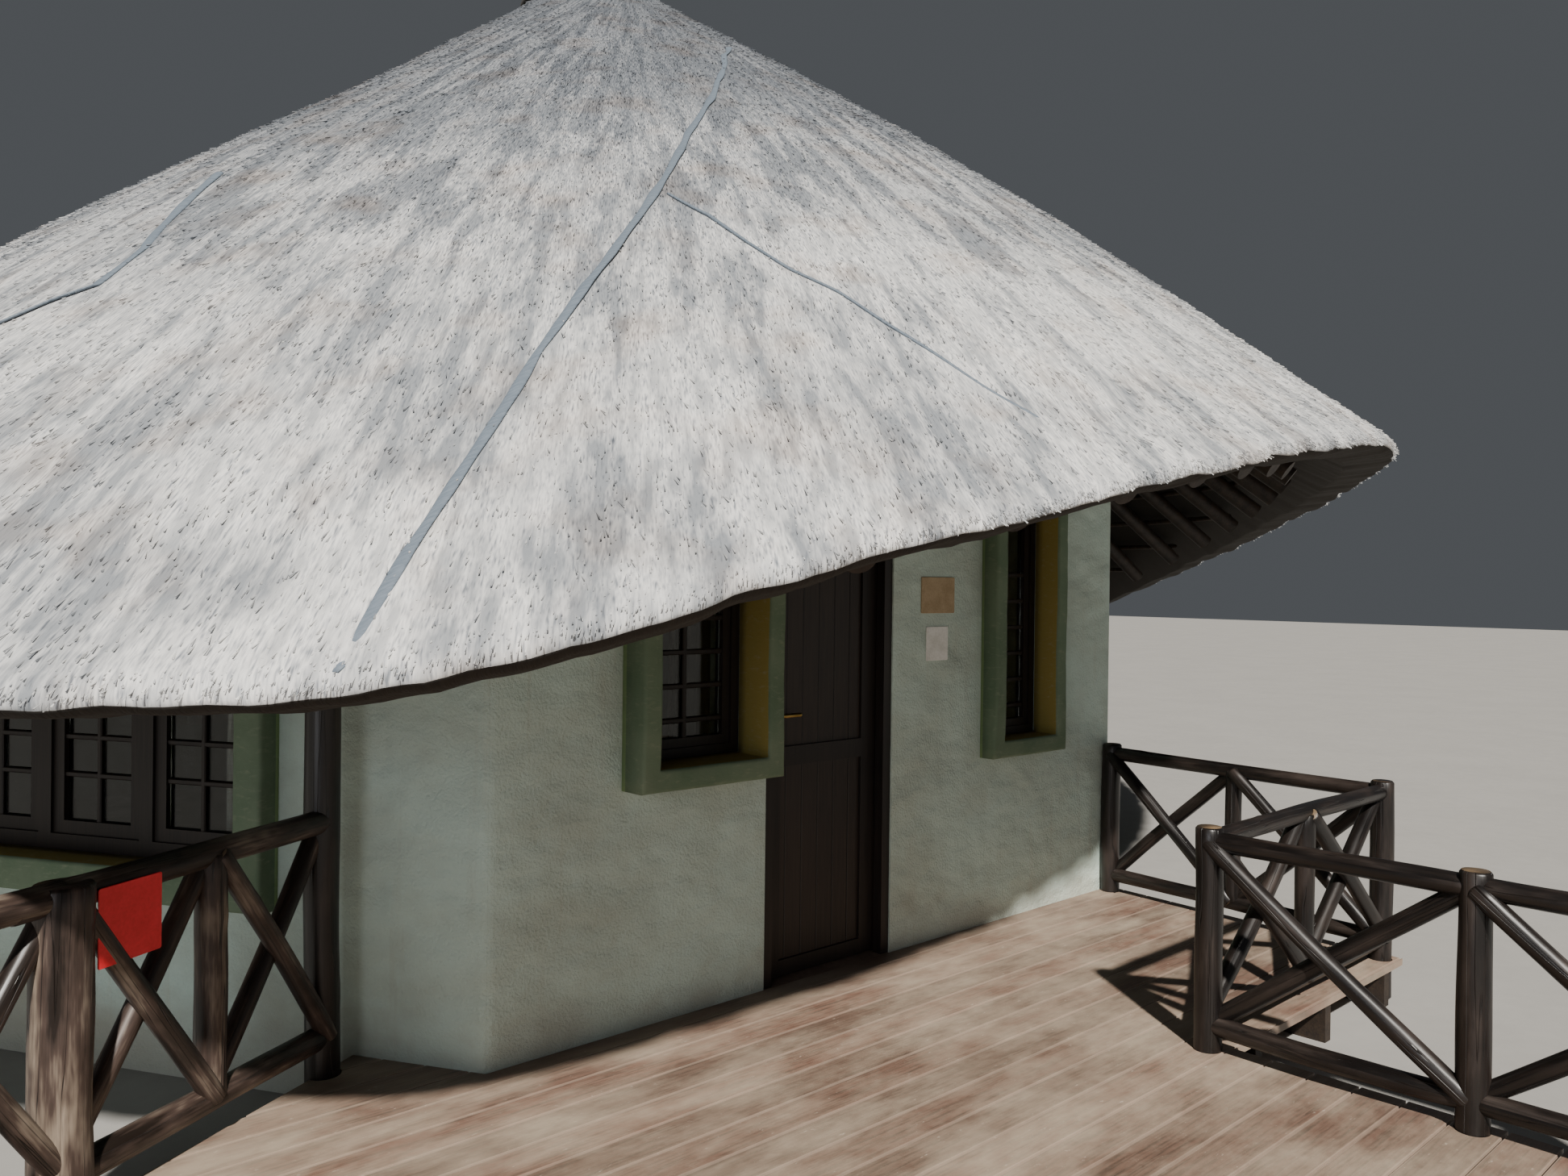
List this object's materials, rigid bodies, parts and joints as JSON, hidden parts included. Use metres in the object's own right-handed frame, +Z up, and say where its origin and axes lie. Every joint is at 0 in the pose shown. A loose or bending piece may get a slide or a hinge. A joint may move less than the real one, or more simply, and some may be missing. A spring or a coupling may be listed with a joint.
{
  "type": "rondavel hut",
  "caption": "Hollow six-sided plastered hut with a thatched cone roof on gum-pole rafters, a hinged boarded door, timber windows and a timber deck with pole railings.",
  "frame": {"origin": "centre of the six walls on the ground, on the underside of the floor slab", "axes": "+Z up; the entrance wall faces -Y"},
  "size_m": [11.0582, 11.5973, 5.72],
  "materials": {
    "plaster": "rough rolled lime-washed plaster",
    "surround_plaster": "painted plaster",
    "floor": "polished screed",
    "thatch": "weathered thatching grass",
    "cap": "weathered cement mortar",
    "gum_pole": "creosoted debarked poles",
    "batten": "creosoted saplings",
    "joinery": "dark stained hardwood",
    "door_board": "dark stained boards",
    "glass": "clear window glass",
    "brass": "worn brass",
    "hinge_steel": "dull steel",
    "deck_board": "worn red-brown boards"
  },
  "bodies": {
    "hut": {"floor_slab": "floor", "front_wall_left": "plaster", "front_wall_right": "plaster", "front_wall_over_door": "plaster", "left_front_wall": "plaster", "left_rear_wall": "plaster", "rear_wall": "plaster", "right_rear_wall": "plaster", "right_front_wall": "plaster", "front_left_surround": "surround_plaster", "front_right_surround": "surround_plaster", "left_surround": "surround_plaster", "right_surround": "surround_plaster", "rear_surround": "surround_plaster", "front_left_window": "joinery", "front_right_window": "joinery", "left_window": "joinery", "right_window": "joinery", "rear_window": "joinery", "front_glass": "glass", "left_glass": "glass", "right_glass": "glass", "rear_glass": "glass", "door_frame": "joinery", "door_threshold": "floor", "hinge_pins": "hinge_steel", "thatch": "thatch", "ridge_cap": "cap", "battens": "batten", "long_rafters": "gum_pole", "short_rafters": "gum_pole", "peak_block": "gum_pole", "roof_post": "gum_pole", "left_posts": "gum_pole", "right_posts": "gum_pole", "left_railing": "gum_pole", "edge_railing": "gum_pole", "walk_railing": "gum_pole", "bay_front_railing": "gum_pole", "bay_side_railing": "gum_pole", "deck_boards": "deck_board", "deck_joists": "gum_pole"},
    "door": {"door_leaf": "joinery", "door_panels": "door_board", "door_lever": "brass", "hinge_knuckles": "hinge_steel"}
  },
  "joints": [
    {"name": "door_hinge", "type": "hinge", "parent": "hut", "child": "door", "pos_m": [0.0725, -3.1346, 1.2], "axis": [0, 0, -1], "range_deg": [0, 90]}
  ]
}
